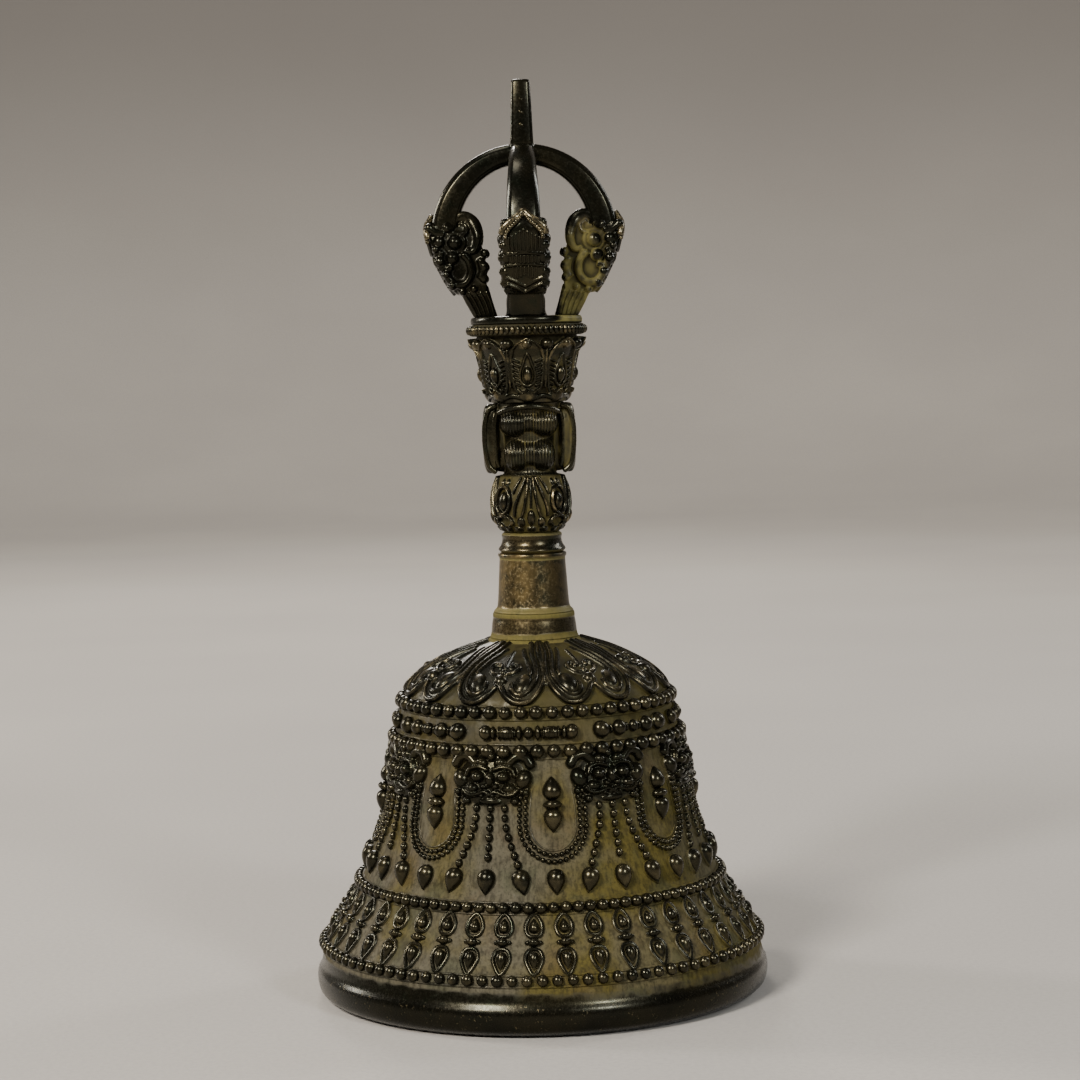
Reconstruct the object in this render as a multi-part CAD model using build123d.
from build123d import *

# A hand bell: a cast cup, a carved handle stacked on one tie rod, a crown of four curved prongs
# round a centre prong, and a clapper hung inside the cup on a long chain link.
#
# Millimetres, +Z up. The origin is the centre of the rest ring that the bell stands on. -Y is
# the front of the handle (the side with the bound hair) and +Y is the side with the face.

import os

# --- Driving dimensions ---------------------------------------------------------------------

RIM_RADIUS = 44.8  # widest point of the lip
RIM_Z = 5.6
LIP_TOP_Z = 8.6
REST_OUTER = 42.2  # flat ring the bell stands on
REST_INNER = 39.4
SEAT_R = 9.2  # flat land on the crown that the handle sits on
SEAT_Z = 69.2
VAULT_R = 8.0  # flat land under the crown
VAULT_Z = 65.5
HAIR_SIDE_Y = -3.5  # the bound hair stands this far in front of the axis

# Outer and inner face of the cup as (radius, height), from the lip up to the shoulder.
OUTER_WALL = (
    (42.7, 11.3),
    (40.3, 15.0),
    (37.6, 19.0),
    (35.6, 22.6),
    (33.8, 27.0),
    (31.2, 35.0),
    (29.5, 43.0),
    (28.2, 49.0),
    (27.2, 54.5),
    (25.8, 59.2),
)
INNER_WALL = (
    (39.0, 4.0),
    (38.3, 10.0),
    (34.9, 19.0),
    (32.7, 24.0),
    (28.5, 36.0),
    (26.8, 43.0),
    (24.8, 53.0),
    (23.2, 58.0),
)
# Bead rings round the cup: (height, radius of the ring, radius of its section).
BEAD_RINGS = ((10.4, 42.8, 1.0), (22.7, 35.4, 0.95), (51.0, 27.7, 1.1), (58.3, 25.8, 1.0))

ROD_R = 2.0  # tie rod, M4
ROD_BORE_R = 2.15
FIT = 0.05  # gap between a spigot or peg and its socket
SPIGOT_R = 4.0  # spigot under each handle section
SPIGOT_H = 1.2

WASHER_TOP = 70.2  # joint heights up the handle
RING_TOP = 75.2
SLEEVE_TOP = 86.9
COLLAR_TOP = 90.9
BULB_TOP = 102.3
HEAD_TOP = 116.6
CAPITAL_TOP = 129.6
BEADING_TOP = 131.8
PLATE_TOP = 133.4

BEADING_R = 11.9
PLATE_R = 10.9
PLATE_SPIGOT_R = 8.0

HUB_R = 3.8
HUB_TOP = 139.4
ROD_TOP = 138.0
SHAFT_HALF = 2.45  # half the width of the square centre shaft
TIP_Z = 179.5
TIP_FOOT = 4.6
TIP_WIDTH = 3.7

ARCH_Z = 149.0  # centre height of the prongs' arc
ARCH_R = 18.2
ARCH_INNER_R = 13.1
ARCH_INNER_RISE = 14.3
ARCH_TOP = ARCH_Z + ARCH_R
MOUTH_Z = 151.0  # floor of each makara's mouth, where a prong stands
PRONG_HALF = 3.3
MOUTH_CENTRE = 15.5  # distance of the mouth's peg from the axis
HEAD_HALF = 4.5  # half the width of a makara's head
STEM_HALF = 3.3
STEM_CENTRE = 7.9  # distance of the stem's peg from the axis
PEG_R = 1.2
PEG_H = 1.2

WASHER_R = 6.0
WASHER_H = 1.0
NUT_FLATS = 7.0
NUT_H = 3.2
EYE_Z = 51.0  # hanger eye: centre, radius to the middle of the wire, and the wire's radius
EYE_R = 4.0
EYE_WIRE = 1.4
EYE_NECK_R = 3.2
ROD_FOOT = 57.0
LINK_R = 2.6
LINK_WIRE = 1.0
LINK_STRAIGHT = 5.0
LOOP_R = 2.4
LOOP_WIRE = 1.1
SHANK_R = 1.6
SHANK_FOOT = 7.6
BOB_R = 7.0
BOB_FOOT = 6.6
BOB_TOP = 24.0

PIVOT_Z = EYE_Z - EYE_R  # the link hangs on the eye here
CLAPPER_PIVOT_Z = PIVOT_Z - LINK_STRAIGHT - LINK_R  # the clapper hangs on the link here

FRONT, RIGHT, BACK, LEFT = -90, 0, 90, 180  # directions round the handle, in degrees


# --- Helpers --------------------------------------------------------------------------------


def turned(*edges):
    """Revolve a closed run of edges about Z; an edge's x is the radius and its y the height."""
    return revolve(Plane.XZ * make_face(Curve() + list(edges)), Axis.Z)


def turned_outline(*points):
    """Revolve a closed polygon of (radius, height) points about Z."""
    return revolve(Plane.XZ * make_face(Polyline(*points, close=True)), Axis.Z)


def turned_side(side, low, high):
    """Revolve the area between the axis and one curved side that runs from low to high."""
    return turned(Line((0, low), side @ 0), side, Line(side @ 1, (0, high)), Line((0, high), (0, low)))


def disc(radius, low, high):
    """A solid cylinder on the Z axis between two heights."""
    return Pos(0, 0, low) * Cylinder(radius, high - low, align=(Align.CENTER, Align.CENTER, Align.MIN))


def stacked(section, low, high, spigot=SPIGOT_H):
    """Give a handle section the spigot under it, the socket in its top and the rod's bore."""
    section += disc(SPIGOT_R, low - spigot, low)
    section -= disc(SPIGOT_R + FIT, high - SPIGOT_H - FIT, high)
    return section - disc(ROD_BORE_R, low - spigot, high)


def turned_to(shape, angles):
    """Copies of a shape turned about Z to each of the angles."""
    return [Rot(0, 0, angle) * shape for angle in angles]


def plate_in_profile(face, half_width):
    """A plate centred on the XZ plane; the face's x is the radius and its y the height."""
    return extrude(Plane.XZ * face, half_width, both=True)


def ellipsoid(half_x, half_y, half_z):
    return scale(Sphere(1), by=(half_x, half_y, half_z))


# --- The cup --------------------------------------------------------------------------------


def bell_cup():
    wall = Spline(OUTER_WALL)
    inner = Spline(INNER_WALL)
    dome = Spline(wall @ 1, (24.7, 61.4), (21.6, 63.9), (15.6, 67.0), (SEAT_R, SEAT_Z))
    vault = Spline(inner @ 1, (18.6, 62.2), (13.0, 64.6), (VAULT_R, VAULT_Z))
    lip = Spline((44.2, LIP_TOP_Z), (RIM_RADIUS, RIM_Z), (44.3, 2.0), (REST_OUTER, 0))
    cup = turned(
        Line((0, SEAT_Z), (SEAT_R, SEAT_Z)),
        dome,
        wall,
        Line(wall @ 0, lip @ 0),
        lip,
        Line((REST_OUTER, 0), (REST_INNER, 0)),
        Line((REST_INNER, 0), inner @ 0),
        inner,
        vault,
        Line(vault @ 1, (0, VAULT_Z)),
        Line((0, VAULT_Z), (0, SEAT_Z)),
    )
    for height, radius, section in BEAD_RINGS:
        cup += Pos(0, 0, height) * Torus(radius, section)
    cup -= disc(SPIGOT_R + FIT, SEAT_Z - SPIGOT_H - FIT, SEAT_Z)
    return cup - disc(ROD_BORE_R, VAULT_Z, SEAT_Z)


# --- The handle, from the cup up ----------------------------------------------------------------


def seat_washer():
    return disc(SEAT_R - 0.2, SEAT_Z, WASHER_TOP) - disc(SPIGOT_R + FIT, SEAT_Z, WASHER_TOP)


def neck_ring():
    """The turned foot of the handle; its long spigot passes the washer and enters the cup."""
    ring = turned_outline((0, WASHER_TOP), (8.5, WASHER_TOP), (8.0, RING_TOP), (0, RING_TOP))
    return stacked(ring, WASHER_TOP, RING_TOP, spigot=WASHER_TOP - SEAT_Z + SPIGOT_H)


def neck_sleeve():
    sleeve = turned_outline((0, RING_TOP), (7.1, RING_TOP), (6.6, SLEEVE_TOP), (0, SLEEVE_TOP))
    return stacked(sleeve, RING_TOP, SLEEVE_TOP)


def neck_collar():
    side = Spline((5.9, SLEEVE_TOP), (6.6, 87.8), (6.2, 89.4), (5.8, COLLAR_TOP))
    return stacked(turned_side(side, SLEEVE_TOP, COLLAR_TOP), SLEEVE_TOP, COLLAR_TOP)


def vase_bulb():
    side = Spline((5.4, COLLAR_TOP), (7.3, 93.6), (8.0, 97.2), (7.3, 100.4), (6.0, BULB_TOP))
    return stacked(turned_side(side, COLLAR_TOP, BULB_TOP), COLLAR_TOP, BULB_TOP)


def head_block():
    """The head under the lotus: two rolls of bound hair in front, a face behind, long ears."""
    low, high = BULB_TOP, HEAD_TOP
    skull = turned_outline((0, low), (5.4, low), (6.3, low + 3), (6.3, high - 2), (7.4, high), (0, high))
    upper_roll = Pos(0, HAIR_SIDE_Y, 112.0) * ellipsoid(5.9, 3.6, 3.2)
    lower_roll = Pos(0, HAIR_SIDE_Y, 105.8) * ellipsoid(4.9, 3.5, 3.2)
    face = Pos(0, 2.6, 109.4) * ellipsoid(5.2, 4.7, 6.6)
    ear = Pos(8.0, 0, (low + high) / 2) * Box(3.2, 5.4, high - low - 1.0)
    ear = fillet(ear.edges(), 1.3)
    head = skull + upper_roll + lower_roll + face + ear + mirror(ear, Plane.YZ)
    return stacked(head & disc(12, low, high), low, high)


def lotus_capital():
    """Eight pointed petals raised on a flaring core."""
    low, high = HEAD_TOP, CAPITAL_TOP
    core = turned_outline((0, low), (7.3, low), (8.3, 119.6), (9.3, 124.6), (10.6, high), (0, high))
    grown = turned_outline((0, low), (8.0, low), (9.2, 119.6), (10.3, 124.6), (11.5, high), (0, high))
    tip = (0, high - 0.3)
    right_side = Spline((2.4, low), (3.4, 121.0), (2.6, 126.0), tip)
    left_side = Spline((-2.4, low), (-3.4, 121.0), (-2.6, 126.0), tip)
    outline = make_face(Curve() + [right_side, left_side, Line((-2.4, low), (2.4, low))])
    petal = grown & extrude(Plane.XZ * outline, 20)
    capital = core + turned_to(petal, range(0, 360, 45))
    capital += disc(SPIGOT_R, low - SPIGOT_H, low)
    return capital - disc(ROD_BORE_R, low - SPIGOT_H, high)


def beading_ring():
    """The milled ring that the crown plate clamps on the lotus."""
    low, high, edge = CAPITAL_TOP, BEADING_TOP, 0.5
    ring = disc(BEADING_R, low, high)
    ring = chamfer(ring.edges().filter_by(GeomType.CIRCLE), edge)
    return ring - disc(PLATE_SPIGOT_R + FIT, low, high)


def crown_plate():
    plate = chamfer(disc(PLATE_R, BEADING_TOP, PLATE_TOP).edges().sort_by(Axis.Z)[-1], 0.4)
    plate += disc(PLATE_SPIGOT_R, CAPITAL_TOP, BEADING_TOP)
    plate -= disc(ROD_BORE_R, CAPITAL_TOP, PLATE_TOP)
    socket = Pos(STEM_CENTRE, 0) * disc(PEG_R + FIT, PLATE_TOP - PEG_H - FIT, PLATE_TOP)
    return plate - turned_to(socket, (FRONT, RIGHT, BACK, LEFT))


# --- The crown of prongs ----------------------------------------------------------------------


def centre_prong():
    """A round hub that the tie rod screws into, a square shaft and a four-sided tip."""
    hub = turned_outline((0, PLATE_TOP), (HUB_R, PLATE_TOP), (HUB_R, 136.4), (3.1, HUB_TOP), (0, HUB_TOP))
    shaft = Pos(0, 0, HUB_TOP - 1) * extrude(Rectangle(2 * SHAFT_HALF, 2 * SHAFT_HALF), ARCH_TOP - HUB_TOP + 1)
    foot = Pos(0, 0, ARCH_TOP) * Rectangle(TIP_FOOT, TIP_FOOT)
    end = Pos(0, 0, TIP_Z) * Rectangle(TIP_WIDTH, TIP_WIDTH)
    tip = loft([foot, end])
    tip = chamfer(tip.edges().group_by(Axis.Z)[1], 0.6)
    return hub + shaft + tip - disc(ROD_R, PLATE_TOP, ROD_TOP)


def makara():
    """A makara in profile on its stem, facing +X: the trunk is inside and the jaw outside."""
    stem = Polyline((5.5, PLATE_TOP), (10.3, PLATE_TOP), (13.4, 139.6), (7.2, 139.6), close=True)
    throat = Line((7.4, 138.4), (13.4, 138.4))
    jaw = Spline(throat @ 1, (16.0, 142.0), (17.9, 146.6), (19.3, 152.6))
    lip = Line(jaw @ 1, (18.3, 153.2))
    mouth = Polyline(lip @ 1, (18.3, MOUTH_Z), (12.9, MOUTH_Z), (12.0, 154.2), (10.4, 154.2))
    trunk = Spline(mouth @ 1, (9.2, 150.4), (7.9, 146.6), throat @ 0)
    head = plate_in_profile(make_face(Curve() + [throat, jaw, lip, mouth, trunk]), HEAD_HALF)
    body = plate_in_profile(make_face(stem), STEM_HALF) + head
    for side in (-1, 1):
        body += Pos(12.4, side * (HEAD_HALF - 0.3), 147.6) * Sphere(1.5)
        body += Pos(14.2, side * (HEAD_HALF - 0.7), 143.0) * Sphere(2.0)
    body += Pos(STEM_CENTRE, 0) * disc(PEG_R, PLATE_TOP - PEG_H, PLATE_TOP)
    return body - Pos(MOUTH_CENTRE, 0) * disc(PEG_R + FIT, MOUTH_Z - PEG_H - FIT, MOUTH_Z)


def prong():
    """A curved prong towards +X: it stands in the makara's mouth and arches in to the shaft."""
    bow = Pos(0, ARCH_Z) * (Circle(ARCH_R) - Ellipse(ARCH_INNER_R, ARCH_INNER_RISE))
    reach = Pos(SHAFT_HALF, MOUTH_Z) * Rectangle(20, 20, align=(Align.MIN, Align.MIN))
    blade = plate_in_profile(bow & reach, PRONG_HALF)
    waist = make_face(
        Polyline(
            (-PRONG_HALF, MOUTH_Z),
            (PRONG_HALF, MOUTH_Z),
            (SHAFT_HALF, 162.8),
            (SHAFT_HALF, ARCH_TOP),
            (-SHAFT_HALF, ARCH_TOP),
            (-SHAFT_HALF, 162.8),
            close=True,
        )
    )
    blade &= extrude(Plane.YZ * waist, 30)
    return blade + Pos(MOUTH_CENTRE, 0) * disc(PEG_R, MOUTH_Z - PEG_H, MOUTH_Z)


# --- The tie rod and what hangs on it ------------------------------------------------------------


def tie_rod():
    return disc(ROD_R, ROD_FOOT, ROD_TOP)


def inner_washer():
    return disc(WASHER_R, VAULT_Z - WASHER_H, VAULT_Z) - disc(ROD_BORE_R, VAULT_Z - WASHER_H, VAULT_Z)


def clamp_nut():
    high = VAULT_Z - WASHER_H
    low = high - NUT_H
    nut = Pos(0, 0, low) * extrude(RegularPolygon(NUT_FLATS / 2, 6, major_radius=False), NUT_H)
    return nut - disc(ROD_R, low, high)


def hanger_eye():
    """An eye nut locked under the clamp nut; its ring stands in the YZ plane."""
    high = VAULT_Z - WASHER_H - NUT_H
    ring = Pos(0, 0, EYE_Z) * Rot(0, 90, 0) * Torus(EYE_R, EYE_WIRE)
    return ring + disc(EYE_NECK_R, EYE_Z + EYE_R + 0.4, high) - disc(ROD_R, ROD_FOOT, high)


def hanger_link():
    """A long link of round wire in the XZ plane, hooked through the eye."""
    lower_bend = revolve(Pos(LINK_R, 0) * Circle(LINK_WIRE), Axis.Y, 180)
    link = Pos(0, 0, PIVOT_Z) * mirror(lower_bend, Plane.XY)
    link += Pos(0, 0, PIVOT_Z - LINK_STRAIGHT) * lower_bend
    for side in (-1, 1):
        link += Pos(side * LINK_R, 0) * disc(LINK_WIRE, PIVOT_Z - LINK_STRAIGHT, PIVOT_Z)
    return link


def clapper_rod():
    """The clapper's shank; the loop at its top stands in the YZ plane round the link's bend."""
    loop = Pos(0, 0, CLAPPER_PIVOT_Z) * Rot(0, 90, 0) * Torus(LOOP_R, LOOP_WIRE)
    return loop + disc(SHANK_R, SHANK_FOOT, CLAPPER_PIVOT_Z - LOOP_R)


def clapper_bob():
    """A pear-shaped weight on the shank's lower end."""
    side = Spline((2.6, BOB_FOOT), (6.2, 9.4), (BOB_R, 13.4), (4.6, 19.2), (2.7, BOB_TOP))
    return turned_side(side, BOB_FOOT, BOB_TOP) - disc(SHANK_R, SHANK_FOOT, BOB_TOP)


# --- The assembly -----------------------------------------------------------------------------

NODES = {
    "bell_cup": bell_cup(),
    "seat_washer": seat_washer(),
    "neck_ring": neck_ring(),
    "neck_sleeve": neck_sleeve(),
    "neck_collar": neck_collar(),
    "vase_bulb": vase_bulb(),
    "head_block": head_block(),
    "lotus_capital": lotus_capital(),
    "beading_ring": beading_ring(),
    "crown_plate": crown_plate(),
    "centre_prong": centre_prong(),
    "tie_rod": tie_rod(),
    "inner_washer": inner_washer(),
    "clamp_nut": clamp_nut(),
    "hanger_eye": hanger_eye(),
    "hanger_link": hanger_link(),
    "clapper_rod": clapper_rod(),
    "clapper_bob": clapper_bob(),
}
for direction, angle in (("front", FRONT), ("right", RIGHT), ("back", BACK), ("left", LEFT)):
    NODES["makara_" + direction] = Rot(0, 0, angle) * makara()
    NODES["prong_" + direction] = Rot(0, 0, angle) * prong()

os.makedirs("parts", exist_ok=True)
for name, shape in NODES.items():
    export_step(shape, "parts/" + name + ".step")
